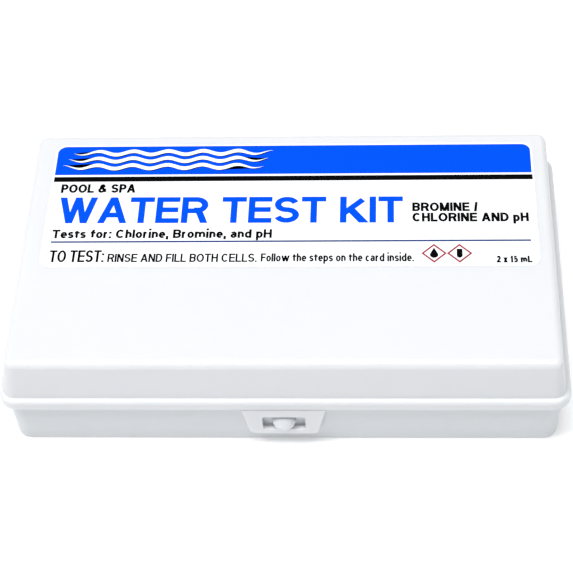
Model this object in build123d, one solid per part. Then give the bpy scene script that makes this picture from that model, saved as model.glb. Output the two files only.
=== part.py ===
"""Pool and spa water test kit: a hinged plastic case holding a two-cell colour comparator and two reagent bottles.

Units are millimetres. The origin is the centre of the case's footprint on the surface it stands on:
+X runs along the case's width, +Y towards the hinge, +Z up. The case is shut, and its latch is at the front, -Y.
Every function returns one sub-part in its place, and the last lines write each one to parts/NODE.step.
"""
from build123d import *

import os

# --- case: overall sizes, over the lid's skirt
CASE_WIDTH = 176.0
CASE_DEPTH = 104.8
CASE_HEIGHT = 36.6
HALF_WIDTH = CASE_WIDTH / 2
HALF_DEPTH = CASE_DEPTH / 2

# --- making: how far a cutter runs past the face it starts from, and how closely two heights must agree
OVERCUT = 1.0
SAME = 0.01

# --- lid: a drafted box whose skirt hangs outside the base's lip. An inset is measured in from the skirt's face
SKIRT_LOW = 18.45
SKIRT_HIGH = 22.25
SKIRT_WALL = 1.2
SKIRT_ROUND = 1.4
SKIRT_EDGE_ROUND = 0.3
SKIRT_CORNER = 5.6
LID_INSET_LOW = 1.6
LID_INSET_TOP = 3.4
LID_CORNER_LOW = 3.9
LID_CORNER_TOP = 3.0
LID_TOP_ROUND = 2.4
LID_WALL = 1.5
LID_CEILING = CASE_HEIGHT - 1.7
LID_CEILING_ROUND = 1.0
COVE_ROUND = 0.4

# --- base: a drafted tray whose lip nests in the skirt
LIP_HIGH = 21.05
LIP_GAP = 0.3
NEST_HIGH = LIP_HIGH + LIP_GAP
BASE_INSET_FLOOR = 2.7
BASE_INSET_LIP = SKIRT_WALL + LIP_GAP
BASE_SIDE_INSET = 0.4
BASE_CORNER_LOW = 4.4
BASE_CORNER_LIP = 5.0
BASE_FLOOR_ROUND = 0.8
BASE_WALL = 1.4
CAVITY_CORNER_LOW = 2.6
CAVITY_CORNER_TOP = 3.0
CAVITY_FLOOR_ROUND = 0.8
FLOOR_TOP = 1.8
LABEL_RECESS = 0.35
LABEL_THICKNESS = 0.15

# --- hinge: two sets of knuckles outside the back wall, at half height so that the open lid lies flat on its label
HINGE_Y = HALF_DEPTH + 3.2
HINGE_Z = (CASE_HEIGHT + LABEL_THICKNESS) / 2
HINGE_X = 52.0
KNUCKLE_RADIUS = 2.7
LID_KNUCKLE = 12.0
BASE_KNUCKLE = 5.0
KNUCKLE_GAP = 0.3
HINGE_REACH = LID_KNUCKLE / 2 + KNUCKLE_GAP + BASE_KNUCKLE
WEB_ROOT = 0.6
LID_WEB_LOW = SKIRT_LOW + 0.2
BASE_WEB_FOOT = 8.5
BASE_WEB_TOP = SKIRT_LOW - 0.6
BASE_WEB_HEEL = (1.6, -2.1)
PIN_RADIUS = 1.2
PIN_RUNNING_GAP = 0.05
PIN_CHAMFER = 0.25

# --- latch: a tapered tab with a slot, which snaps over a domed catch on the base
TAB_OUTER_Y = -HALF_DEPTH + 0.15
TAB_THICKNESS = 1.3
TAB_LOW = 6.05
TAB_HALF_TOP = 13.0
TAB_HALF_LOW = 10.5
TAB_CORNER = 2.0
TAB_EDGE_ROUND = 0.3
TAB_PIVOT_Y = TAB_OUTER_Y + TAB_THICKNESS / 2
TAB_TOP_GAP = 0.05
TAB_PIVOT_Z = SKIRT_LOW - TAB_TOP_GAP - TAB_THICKNESS / 2
SLOT_HALF_WIDTH = 6.65
SLOT_LOW = 8.35
SLOT_HIGH = 14.55
SLOT_CORNER = 0.9
CATCH_RADII = (3.85, 4.6, 2.45)
CATCH_CENTRE = (0, -HALF_DEPTH + 2.6, 11.65)
CATCH_TILT = 25.0

# --- labels and the instruction card, as thin sheets
FRONT_LABEL_SIZE = (157.9, 54.2)
FRONT_LABEL_CENTRE = (0.9, 17.1)
FRONT_LABEL_CORNER = 3.4
UNDERSIDE_LABEL_SIZE = (140.0, 72.0)
UNDERSIDE_LABEL_CORNER = 3.0
UNDERSIDE_LABEL_MARGIN = 0.5
CARD_SIZE = (150.0, 78.0)
CARD_CORNER = 2.0
CARD_THICKNESS = 0.25

# --- comparator: two round cells in square tubes, joined by a clear web with the colour card behind it
BLOCK_FRONT_Y = -44.0
BLOCK_BACK_Y = 28.0
BLOCK_REST_Z = FLOOR_TOP + 0.8
BLOCK_HEIGHT = 20.0
BLOCK_HALF_WIDTH = 40.0
BLOCK_ROUND = 1.5
CELL_X = 30.0
CELL_Z = BLOCK_REST_Z + BLOCK_HEIGHT / 2
CELL_RADIUS = 7.3
CELL_FLOOR = 3.0
COLLAR_RADIUS = 8.9
COLLAR_LENGTH = 5.0
WEB_HIGH = BLOCK_REST_Z + 18.0
WEB_LOW = BLOCK_REST_Z + 15.0
WEB_SIDE_OVERLAP = 1.0
END_PLATE = 2.5
END_PLATE_LOW = BLOCK_REST_Z + 5.0
RAIL_WIDTH = 2.6
RAIL_THICKNESS = 1.5
CHIP_COUNT = 5
CHIP_SIZE = (9.6, 9.4)
CHIP_CORNER = 0.8
CHIP_PITCH = 10.6
CHIP_X = 9.0
CHIP_Y = -8.0
CHIP_THICKNESS = 0.35
BACKING_SIZE = (39.0, 64.0)
BACKING_CORNER = 1.0
BACKING_THICKNESS = 0.9
CARD_CLEARANCE = 0.05
RAIL_TOP = WEB_LOW - CHIP_THICKNESS - BACKING_THICKNESS - 3 * CARD_CLEARANCE

# --- push-on caps of the two cells
CELL_CAP_RADIUS = 10.3
CELL_CAP_BORE = COLLAR_RADIUS + 0.1
CELL_CAP_START = BLOCK_BACK_Y + 0.4
CELL_CAP_TOP = 2.0
CELL_CAP_LENGTH = COLLAR_LENGTH + CELL_CAP_TOP
CELL_CAP_DEPTH = COLLAR_LENGTH + 0.1
CELL_CAP_PLUG = 2.4
CELL_CAP_PLUG_WALL = 0.2
CELL_CAP_ROUND = 0.8
CELL_CAP_FLUTES = 20
CELL_CAP_FLUTE_RADIUS = 0.9
CELL_CAP_FLUTE_DEPTH = 0.4

# --- reagent bottles: half-ounce dropper bottles lying on their sides, caps towards the hinge
BOTTLE_X = 63.0
BOTTLE_Z = 14.9
BOTTLE_FOOT_Y = -38.0
BOTTLE_RADIUS = 12.2
BOTTLE_WALL = 1.1
BOTTLE_BODY = 44.0
BOTTLE_FOOT_CHAMFER = 1.6
SHOULDER_TOP = 50.5
SHOULDER_BEND = (2.2, 4.0)
SHOULDER_TANGENTS = ((0, 1), (-1, 0.35))
SHOULDER_THINNING = 0.4
NECK_RADIUS = 6.2
NECK_TOP = 58.5
NECK_BEAD_RADIUS = 7.7
NECK_BEAD_SPAN = (50.7, 51.7)
THREAD_STARTS = (53.4, 55.9)
THREAD_DEPTH = 0.7
THREAD_FLANK = 0.5
THREAD_CREST = 0.4
BOTTLE_LABEL_SPAN = (7.0, 38.0)
BOTTLE_LABEL_GAP = 0.02
BOTTLE_LABEL_SEAM = 1.2
PLUG_RADIUS = NECK_RADIUS - BOTTLE_WALL
PLUG_LENGTH = 5.0
PLUG_WALL = 1.0
TIP_FLANGE = (NECK_RADIUS - 0.1, 1.0)
NOZZLE_TOP = 67.0
NOZZLE_RADII = (3.0, 1.5)
NOZZLE_BORE = 0.5
REAGENT_LEVEL = BOTTLE_Z + 3.5
REAGENT_GAP = 0.05
REAGENT_HEADROOM = 0.6

# --- screw caps of the bottles
BOTTLE_CAP_START = 52.2
BOTTLE_CAP_STRAIGHT = 7.0
BOTTLE_CAP_TOP = 71.5
BOTTLE_CAP_RADII = (8.8, 7.3)
BOTTLE_CAP_ROUND = 1.0
BOTTLE_CAP_BORE = NECK_RADIUS + THREAD_DEPTH + 0.25
BOTTLE_CAP_BORE_TOP = NECK_TOP + 1.4
NOZZLE_ROOM_RADII = (3.6, 2.0)
NOZZLE_ROOM_LOW = NECK_TOP + 2.4
NOZZLE_ROOM_TOP = NOZZLE_TOP + 0.4
BOTTLE_CAP_FLUTES = 18
BOTTLE_CAP_FLUTE_RADIUS = 0.9
BOTTLE_CAP_FLUTE_DEPTH = 0.35
BOTTLE_CAP_FLUTE_LENGTH = 9.5

# --- ribs moulded into the base
RIB = 1.4
DIVIDER_X = BLOCK_HALF_WIDTH + 0.6
DIVIDER_HIGH = 16.5
DIVIDER_DIP = (44.0, 6.0)
DIVIDER_DIP_CORNER = 3.0
DIVIDER_DIP_Y = -8.0
CRADLE_YS = (BOTTLE_FOOT_Y + 3.5, BOTTLE_FOOT_Y + 41.5)
CRADLE_HIGH = BOTTLE_Z - 1.4
CRADLE_RADIUS = BOTTLE_RADIUS + LABEL_THICKNESS + 0.3
STOP_GAP = 0.6
STOP_HIGH = 12.0
BOTTLE_STOP_HALF_WIDTH = 9.0
FRONT_STOP_HALF_WIDTH = 24.0
BACK_STOP_HALF_WIDTH = 14.0
REST_RAIL_X = (12.0, 27.0)
REST_RAIL_WIDTH = 2.0
REST_RAIL_SETBACK = 4.0


def block(x0, x1, y0, y1, z0, z1):
    """A plain box between two corners."""
    return Pos((x0 + x1) / 2, (y0 + y1) / 2, (z0 + z1) / 2) * Box(x1 - x0, y1 - y0, z1 - z0)


def outline(inset, corner, z, side=0):
    """The case's rounded outline at height z, moved in by inset all round and by side more at its two ends."""
    return Pos(0, 0, z) * RectangleRounded(CASE_WIDTH - 2 * (inset + side), CASE_DEPTH - 2 * inset, corner)


def drafted(inset_low, z_low, inset_high, z_high, corner_low, corner_high, side=0):
    """A rounded box whose walls lean evenly from one height to another."""
    ends = [outline(inset_low, corner_low, z_low, side), outline(inset_high, corner_high, z_high, side)]
    return loft(ends, ruled=True)


def inset_at(z, z0, inset0, z1, inset1):
    """The inset of a drafted wall at height z."""
    return inset0 + (inset1 - inset0) * (z - z0) / (z1 - z0)


def lid_inset(z):
    return inset_at(z, SKIRT_HIGH, LID_INSET_LOW, CASE_HEIGHT, LID_INSET_TOP)


def base_inset(z):
    return inset_at(z, 0, BASE_INSET_FLOOR, LIP_HIGH, BASE_INSET_LIP)


def top_edges(shape):
    return shape.faces().sort_by(Axis.Z)[-1].edges()


def bottom_edges(shape):
    return shape.faces().sort_by(Axis.Z)[0].edges()


def sheet(size, corner, centre, z, thickness):
    """A flat sheet with rounded corners, standing on height z."""
    return extrude(Pos(centre[0], centre[1], z) * RectangleRounded(*size, corner), thickness)


def hinge_rod(x0, x1, radius):
    """A cylinder on the hinge axis."""
    return Pos(x0, HINGE_Y, HINGE_Z) * Rot(0, 90, 0) * extrude(Circle(radius), x1 - x0)


def knuckle(x0, x1, web):
    """One hinge knuckle about the hinge axis, with the web that joins it to its shell."""
    arm = extrude(Plane.YZ.offset(x0) * make_face(Polyline(*web, close=True)), x1 - x0, dir=(1, 0, 0))
    return hinge_rod(x0, x1, KNUCKLE_RADIUS) + arm


def fluted(radius, groove_radius, depth, count, y0, length):
    """Grip grooves around a cap whose axis runs along Y through the origin."""
    groove = Pos(radius + groove_radius - depth, y0, 0) * Rot(-90, 0, 0) * extrude(Circle(groove_radius), length)
    return [Rot(0, 360 * i / count, 0) * groove for i in range(count)]


def turned(points):
    """A solid of revolution about the Y axis, from (radius, y) points."""
    return revolve(make_face(Polyline(*points, close=True)), Axis.Y)


def rod(radius, y0, y1):
    """A cylinder on the Y axis."""
    return turned([(0, y0), (radius, y0), (radius, y1), (0, y1)])


# ---------------------------------------------------------------- lid

def lid_shell():
    shell = lid_outside() - lid_hollow()
    web = [
        (HALF_DEPTH - WEB_ROOT, LID_WEB_LOW), (HALF_DEPTH + SKIRT_WALL, LID_WEB_LOW), (HINGE_Y, HINGE_Z),
        (HINGE_Y, HINGE_Z + KNUCKLE_RADIUS), (HALF_DEPTH - WEB_ROOT, HINGE_Z + KNUCKLE_RADIUS),
    ]
    for side in (-1, 1):
        x0 = side * HINGE_X - LID_KNUCKLE / 2
        x1 = x0 + LID_KNUCKLE
        shell = shell + knuckle(x0, x1, web) - hinge_rod(x0, x1, PIN_RADIUS + PIN_RUNNING_GAP)
    return shell


def lid_outside():
    """The lid's drafted box, with the skirt round its lower edge and a small cove where they meet."""
    body = drafted(
        lid_inset(NEST_HIGH), NEST_HIGH, LID_INSET_TOP, CASE_HEIGHT, LID_CORNER_LOW, LID_CORNER_TOP,
    )
    body = fillet(top_edges(body), LID_TOP_ROUND)
    skirt = extrude(outline(0, SKIRT_CORNER, SKIRT_LOW), SKIRT_HIGH - SKIRT_LOW)
    skirt = fillet(top_edges(skirt), SKIRT_ROUND)
    skirt = fillet(bottom_edges(skirt), SKIRT_EDGE_ROUND)
    shape = body + skirt
    crease = [e for e in shape.edges() if abs(e.center().Z - SKIRT_HIGH) < SAME and on_lid_wall(e.center())]
    return fillet(crease, COVE_ROUND)


def on_lid_wall(point):
    """True for a point on the line where the lid's wall meets the top of the skirt."""
    inset = min(HALF_WIDTH - abs(point.X), HALF_DEPTH - abs(point.Y))
    return inset > (SKIRT_ROUND + LID_INSET_LOW) / 2


def lid_hollow():
    """The room inside the lid, and the wider nest for the base's lip."""
    low = SKIRT_LOW - OVERCUT
    hollow = drafted(
        lid_inset(low) + LID_WALL, low, lid_inset(LID_CEILING) + LID_WALL, LID_CEILING,
        CAVITY_CORNER_TOP, CAVITY_CORNER_TOP,
    )
    hollow = fillet(top_edges(hollow), LID_CEILING_ROUND)
    return hollow + extrude(outline(SKIRT_WALL, SKIRT_CORNER - SKIRT_WALL, low), NEST_HIGH - low)


def front_label():
    return sheet(FRONT_LABEL_SIZE, FRONT_LABEL_CORNER, FRONT_LABEL_CENTRE, CASE_HEIGHT, LABEL_THICKNESS)


def instruction_card():
    return sheet(CARD_SIZE, CARD_CORNER, (0, 0), LID_CEILING - CARD_THICKNESS, CARD_THICKNESS)


# ---------------------------------------------------------------- latch

def latch_tab():
    """The tab turns about its rounded top edge, where the real one bends at a thin web."""
    corners = [
        (-TAB_HALF_TOP, TAB_PIVOT_Z), (TAB_HALF_TOP, TAB_PIVOT_Z), (TAB_HALF_LOW, TAB_LOW), (-TAB_HALF_LOW, TAB_LOW),
    ]
    face = make_face(Polyline(*corners, close=True))
    face = fillet(face.vertices().sort_by(Axis.Y)[:2], TAB_CORNER)
    plate = extrude(Plane.XZ.offset(-TAB_OUTER_Y) * face, -TAB_THICKNESS)
    rim = [e for e in plate.faces().sort_by(Axis.Y)[0].edges() if e.center().Z < TAB_PIVOT_Z - SAME]
    plate = fillet(rim, TAB_EDGE_ROUND)
    slot = Pos(0, (SLOT_LOW + SLOT_HIGH) / 2) * RectangleRounded(
        2 * SLOT_HALF_WIDTH, SLOT_HIGH - SLOT_LOW, SLOT_CORNER
    )
    plate = plate - extrude(Plane.XZ.offset(-TAB_OUTER_Y) * slot, -TAB_THICKNESS)
    top = Pos(-TAB_HALF_TOP, TAB_PIVOT_Y, TAB_PIVOT_Z) * Rot(0, 90, 0)
    return plate + top * extrude(Circle(TAB_THICKNESS / 2), 2 * TAB_HALF_TOP)


# ---------------------------------------------------------------- base

def base_shell():
    body = drafted(
        BASE_INSET_FLOOR, 0, BASE_INSET_LIP, LIP_HIGH, BASE_CORNER_LOW, BASE_CORNER_LIP, BASE_SIDE_INSET,
    )
    body = fillet(bottom_edges(body), BASE_FLOOR_ROUND)
    cavity = drafted(
        base_inset(FLOOR_TOP) + BASE_WALL, FLOOR_TOP, base_inset(LIP_HIGH + OVERCUT) + BASE_WALL, LIP_HIGH + OVERCUT,
        CAVITY_CORNER_LOW, CAVITY_CORNER_TOP, BASE_SIDE_INSET,
    )
    body = body - fillet(bottom_edges(cavity), CAVITY_FLOOR_ROUND)
    body = body + (inner_ribs() & cavity)
    body = body - extrude(RectangleRounded(*UNDERSIDE_LABEL_SIZE, UNDERSIDE_LABEL_CORNER), LABEL_RECESS)
    body = body + catch() + base_knuckles()
    for side in (-1, 1):
        body = body - hinge_rod(side * HINGE_X - HINGE_REACH, side * HINGE_X + HINGE_REACH, PIN_RADIUS)
    return body


def catch():
    """The domed catch, its nose tilted down so that the tab rides over it and hooks below. It ends in the wall."""
    dome = Pos(*CATCH_CENTRE) * Rot(CATCH_TILT, 0, 0) * scale(Sphere(1), CATCH_RADII)
    back_y = -HALF_DEPTH + base_inset(CATCH_CENTRE[2]) + BASE_WALL / 2
    return dome & block(-TAB_HALF_LOW, TAB_HALF_LOW, -CASE_DEPTH, back_y, 0, LIP_HIGH)


def base_knuckles():
    """Two knuckles each side of the lid's, on webs that reach out under the skirt."""
    wall_y = HALF_DEPTH - base_inset(SKIRT_LOW) - BASE_WALL / 2
    heel_y, heel_z = BASE_WEB_HEEL
    web = [
        (wall_y, BASE_WEB_FOOT), (HINGE_Y + heel_y, HINGE_Z + heel_z), (HINGE_Y, HINGE_Z),
        (HINGE_Y - KNUCKLE_RADIUS + WEB_ROOT, BASE_WEB_TOP), (wall_y, BASE_WEB_TOP),
    ]
    found = []
    for side in (-1, 1):
        for end in (-1, 1):
            near = side * HINGE_X + end * (LID_KNUCKLE / 2 + KNUCKLE_GAP)
            far = near + end * BASE_KNUCKLE
            found.append(knuckle(min(near, far), max(near, far), web))
    return Part() + found


def inner_ribs():
    """Dividers, bottle cradles, end stops and rest rails, as tall as they stand in the base."""
    side = divider() + cradles() + bottle_stops()
    return side + mirror(side, Plane.YZ) + block_stops() + rest_rails()


def divider():
    """The wall between the comparator and a bottle, dipped for the fingers."""
    width, depth = DIVIDER_DIP
    dip = Pos(DIVIDER_X, DIVIDER_DIP_Y, DIVIDER_HIGH) * Rot(0, 90, 0)
    dip = dip * extrude(RectangleRounded(2 * depth, width, DIVIDER_DIP_CORNER), RIB)
    return block(DIVIDER_X, DIVIDER_X + RIB, -HALF_DEPTH, HALF_DEPTH, 0, DIVIDER_HIGH) - dip


def cradles():
    """Two ribs under a bottle, hollowed to its round."""
    bottle_room = Pos(BOTTLE_X, 0, BOTTLE_Z) * rod(CRADLE_RADIUS, -HALF_DEPTH, HALF_DEPTH)
    ribs = [block(DIVIDER_X, HALF_WIDTH, y - RIB / 2, y + RIB / 2, 0, CRADLE_HIGH) for y in CRADLE_YS]
    return Part() + ribs - bottle_room


def bottle_stops():
    """Ribs just past a bottle's foot and its cap."""
    foot = BOTTLE_FOOT_Y - STOP_GAP - RIB
    head = BOTTLE_FOOT_Y + BOTTLE_CAP_TOP + STOP_GAP
    x0, x1 = BOTTLE_X - BOTTLE_STOP_HALF_WIDTH, BOTTLE_X + BOTTLE_STOP_HALF_WIDTH
    return Part() + [block(x0, x1, y, y + RIB, 0, STOP_HIGH) for y in (foot, head)]


def block_stops():
    """Ribs just past the comparator's two ends."""
    front, back = BLOCK_FRONT_Y - STOP_GAP, BLOCK_BACK_Y + STOP_GAP
    return Part() + [
        block(-FRONT_STOP_HALF_WIDTH, FRONT_STOP_HALF_WIDTH, front - RIB, front, 0, STOP_HIGH),
        block(-BACK_STOP_HALF_WIDTH, BACK_STOP_HALF_WIDTH, back, back + RIB, 0, STOP_HIGH),
    ]


def rest_rails():
    """Low rails that the comparator stands on."""
    half = REST_RAIL_WIDTH / 2
    y0, y1 = BLOCK_FRONT_Y + REST_RAIL_SETBACK, BLOCK_BACK_Y - REST_RAIL_SETBACK
    places = [sign * x for x in REST_RAIL_X for sign in (-1, 1)]
    return Part() + [block(x - half, x + half, y0, y1, 0, BLOCK_REST_Z) for x in places]


def underside_label():
    size = [s - 2 * UNDERSIDE_LABEL_MARGIN for s in UNDERSIDE_LABEL_SIZE]
    corner = UNDERSIDE_LABEL_CORNER - UNDERSIDE_LABEL_MARGIN
    return sheet(size, corner, (0, 0), LABEL_RECESS - LABEL_THICKNESS, LABEL_THICKNESS)


def hinge_pins():
    pins = []
    for side in (-1, 1):
        pin = hinge_rod(side * HINGE_X - HINGE_REACH, side * HINGE_X + HINGE_REACH, PIN_RADIUS)
        pins.append(chamfer(pin.edges().filter_by(GeomType.CIRCLE), PIN_CHAMFER))
    return Compound(children=[p.solid() for p in pins])


# ---------------------------------------------------------------- comparator

def comparator_block():
    inner_x = 2 * CELL_X - BLOCK_HALF_WIDTH
    side = cell_tube(inner_x) + card_rail(inner_x)
    reach = inner_x + WEB_SIDE_OVERLAP
    body = side + mirror(side, Plane.YZ)
    body = body + block(-reach, reach, BLOCK_FRONT_Y, BLOCK_BACK_Y, WEB_LOW, WEB_HIGH)
    body = body + block(-reach, reach, BLOCK_FRONT_Y, BLOCK_FRONT_Y + END_PLATE, END_PLATE_LOW, WEB_HIGH)
    for sign in (-1, 1):
        cell = rod(CELL_RADIUS, BLOCK_FRONT_Y + CELL_FLOOR, BLOCK_BACK_Y + COLLAR_LENGTH)
        body = body - Pos(sign * CELL_X, 0, CELL_Z) * cell
    return body


def cell_tube(inner_x):
    """The square tube round the right-hand cell, with its collar, before the cell is bored."""
    high = BLOCK_REST_Z + BLOCK_HEIGHT
    tube = block(inner_x, BLOCK_HALF_WIDTH, BLOCK_FRONT_Y, BLOCK_BACK_Y, BLOCK_REST_Z, high)
    tube = fillet(tube.edges().filter_by(Axis.Y), BLOCK_ROUND)
    return tube + Pos(CELL_X, 0, CELL_Z) * rod(COLLAR_RADIUS, BLOCK_BACK_Y, BLOCK_BACK_Y + COLLAR_LENGTH)


def card_rail(inner_x):
    """The ledge on a tube's inner side that holds the colour card's edge."""
    x0, x1 = inner_x - RAIL_WIDTH, inner_x + WEB_SIDE_OVERLAP
    return block(x0, x1, BLOCK_FRONT_Y, BLOCK_BACK_Y, RAIL_TOP - RAIL_THICKNESS, RAIL_TOP)


def color_chips(sign):
    """Five colour standards in a column beside one cell, just behind the clear web."""
    z = WEB_LOW - CARD_CLEARANCE - CHIP_THICKNESS
    chips = []
    for i in range(CHIP_COUNT):
        y = CHIP_Y + (i - (CHIP_COUNT - 1) / 2) * CHIP_PITCH
        chips.append(sheet(CHIP_SIZE, CHIP_CORNER, (sign * CHIP_X, y), z, CHIP_THICKNESS))
    return Compound(children=[c.solid() for c in chips])


def color_card():
    z = WEB_LOW - CARD_CLEARANCE - CHIP_THICKNESS - BACKING_THICKNESS
    return sheet(BACKING_SIZE, BACKING_CORNER, (0, CHIP_Y), z, BACKING_THICKNESS)


def cell_cap(sign):
    """A push-on cap: a fluted skirt over the cell's collar, and a short hollow plug inside it."""
    cap = fillet(rod(CELL_CAP_RADIUS, 0, CELL_CAP_LENGTH).edges().sort_by(Axis.Y)[-1], CELL_CAP_ROUND)
    plug = CELL_RADIUS - CELL_CAP_PLUG_WALL
    collar_room = rod(CELL_CAP_BORE, -OVERCUT, CELL_CAP_DEPTH) - rod(plug, -OVERCUT, CELL_CAP_DEPTH)
    plug_end = rod(CELL_RADIUS, -OVERCUT, COLLAR_LENGTH - CELL_CAP_PLUG)
    flutes = fluted(
        CELL_CAP_RADIUS, CELL_CAP_FLUTE_RADIUS, CELL_CAP_FLUTE_DEPTH, CELL_CAP_FLUTES, -OVERCUT, CELL_CAP_LENGTH
    )
    return Pos(sign * CELL_X, CELL_CAP_START, CELL_Z) * (cap - collar_room - plug_end - flutes)


# ---------------------------------------------------------------- reagent bottles

def in_bottle_place(shape, sign):
    """Carries a shape made about the Y axis, foot at y = 0, to where its bottle lies."""
    return Pos(sign * BOTTLE_X, BOTTLE_FOOT_Y, BOTTLE_Z) * shape


def bottle_profile(offset):
    """The bottle's outline as a face, moved in by offset, from its foot to the neck's top."""
    r = BOTTLE_RADIUS - offset
    neck = NECK_RADIUS - offset
    shoulder = BOTTLE_BODY - offset * SHOULDER_THINNING
    neck_foot = SHOULDER_TOP - offset * SHOULDER_THINNING
    bend = (r - SHOULDER_BEND[0], shoulder + SHOULDER_BEND[1])
    wall = Polyline(
        (0, offset), (r - BOTTLE_FOOT_CHAMFER, offset), (r, offset + BOTTLE_FOOT_CHAMFER), (r, shoulder)
    )
    curve = Spline((r, shoulder), bend, (neck, neck_foot), tangents=SHOULDER_TANGENTS)
    top = Polyline((neck, neck_foot), (neck, NECK_TOP), (0, NECK_TOP), (0, offset))
    return make_face([wall, curve, top])


def bottle(sign):
    body = revolve(bottle_profile(0), Axis.Y) + rod(NECK_BEAD_RADIUS, *NECK_BEAD_SPAN)
    for start in THREAD_STARTS:
        body = body + thread_ring(start)
    inside = revolve(bottle_profile(BOTTLE_WALL), Axis.Y)
    return in_bottle_place(body - inside, sign)


def thread_ring(start):
    """One turn of the neck's thread, as a plain ring with sloped flanks."""
    crest = NECK_RADIUS + THREAD_DEPTH
    crest_low = start + THREAD_FLANK
    crest_high = crest_low + THREAD_CREST
    end = crest_high + THREAD_FLANK
    return turned([(0, start), (NECK_RADIUS, start), (crest, crest_low), (crest, crest_high), (NECK_RADIUS, end),
                   (0, end)])


def dropper_tip(sign):
    """A plug in the bottle's neck, with a flange on its rim and a fine nozzle."""
    flange_radius, flange = TIP_FLANGE
    wide, narrow = NOZZLE_RADII
    inside = PLUG_RADIUS - PLUG_WALL
    shoulder = NECK_TOP + flange
    plug_low = NECK_TOP - PLUG_LENGTH
    tip = turned([
        (0, plug_low), (PLUG_RADIUS, plug_low), (PLUG_RADIUS, NECK_TOP), (flange_radius, NECK_TOP),
        (flange_radius, shoulder), (wide, shoulder), (narrow, NOZZLE_TOP), (0, NOZZLE_TOP),
    ])
    funnel = turned([
        (0, plug_low - OVERCUT), (inside, plug_low - OVERCUT), (inside, NECK_TOP - flange), (0, shoulder),
    ])
    return in_bottle_place(tip - funnel - rod(NOZZLE_BORE, NECK_TOP, NOZZLE_TOP + OVERCUT), sign)


def bottle_cap(sign):
    """A tapered screw cap, hollow over the neck and the nozzle."""
    wide, narrow = BOTTLE_CAP_RADII
    cap = turned([
        (0, BOTTLE_CAP_START), (wide, BOTTLE_CAP_START), (wide, BOTTLE_CAP_START + BOTTLE_CAP_STRAIGHT),
        (narrow, BOTTLE_CAP_TOP), (0, BOTTLE_CAP_TOP),
    ])
    cap = fillet(cap.edges().sort_by(Axis.Y)[-1], BOTTLE_CAP_ROUND)
    room_low, room_high = NOZZLE_ROOM_RADII
    below = BOTTLE_CAP_START - OVERCUT
    inside = turned([
        (0, below), (BOTTLE_CAP_BORE, below), (BOTTLE_CAP_BORE, BOTTLE_CAP_BORE_TOP),
        (room_low, NOZZLE_ROOM_LOW), (room_high, NOZZLE_ROOM_TOP), (0, NOZZLE_ROOM_TOP),
    ])
    flutes = fluted(
        wide, BOTTLE_CAP_FLUTE_RADIUS, BOTTLE_CAP_FLUTE_DEPTH, BOTTLE_CAP_FLUTES, below, BOTTLE_CAP_FLUTE_LENGTH
    )
    return in_bottle_place(cap - inside - flutes, sign)


def bottle_label(sign):
    """A wrap-round sticker with a narrow seam underneath."""
    low, high = BOTTLE_LABEL_SPAN
    inner = BOTTLE_RADIUS + BOTTLE_LABEL_GAP
    wrap = rod(inner + LABEL_THICKNESS, low, high) - rod(inner, low, high)
    half_seam = BOTTLE_LABEL_SEAM / 2
    return in_bottle_place(wrap - block(-half_seam, half_seam, low, high, -2 * BOTTLE_RADIUS, 0), sign)


def reagent(sign):
    """The liquid lying in the bottle, level with the ground."""
    radius = BOTTLE_RADIUS - BOTTLE_WALL - REAGENT_GAP
    low = BOTTLE_WALL + REAGENT_GAP
    high = BOTTLE_BODY - REAGENT_HEADROOM
    fill = chamfer(rod(radius, low, high).edges().sort_by(Axis.Y)[0], BOTTLE_FOOT_CHAMFER)
    level = REAGENT_LEVEL - BOTTLE_Z
    below = block(-BOTTLE_RADIUS, BOTTLE_RADIUS, 0, BOTTLE_BODY, -BOTTLE_RADIUS, level)
    return in_bottle_place(fill & below, sign)


LEFT, RIGHT = -1, 1
PARTS = {
    "base_shell": base_shell(),
    "underside_label": underside_label(),
    "hinge_pins": hinge_pins(),
    "lid_shell": lid_shell(),
    "front_label": front_label(),
    "instruction_card": instruction_card(),
    "latch_tab": latch_tab(),
    "comparator_block": comparator_block(),
    "color_card": color_card(),
}
for reagent_name, side_sign in (("chlorine", LEFT), ("ph", RIGHT)):
    PARTS[f"{reagent_name}_color_chips"] = color_chips(side_sign)
    PARTS[f"{reagent_name}_cell_cap"] = cell_cap(side_sign)
    PARTS[f"{reagent_name}_bottle"] = bottle(side_sign)
    PARTS[f"{reagent_name}_dropper_tip"] = dropper_tip(side_sign)
    PARTS[f"{reagent_name}_bottle_cap"] = bottle_cap(side_sign)
    PARTS[f"{reagent_name}_bottle_label"] = bottle_label(side_sign)
    PARTS[f"{reagent_name}_reagent"] = reagent(side_sign)

os.makedirs("parts", exist_ok=True)
for node, shape in PARTS.items():
    export_step(shape, f"parts/{node}.step")
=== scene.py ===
"""Looks for the water test kit: materials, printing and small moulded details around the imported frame.

Metres, in the part's own frame: +X along the case's width, +Y to its hinge, +Z up, and z = 0 where it stands.
Printing is thin geometry a few hundredths of a millimetre above the sheet it is printed on.
"""
import math
import random

import bmesh
import bpy
from mathutils import Matrix, Vector


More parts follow.
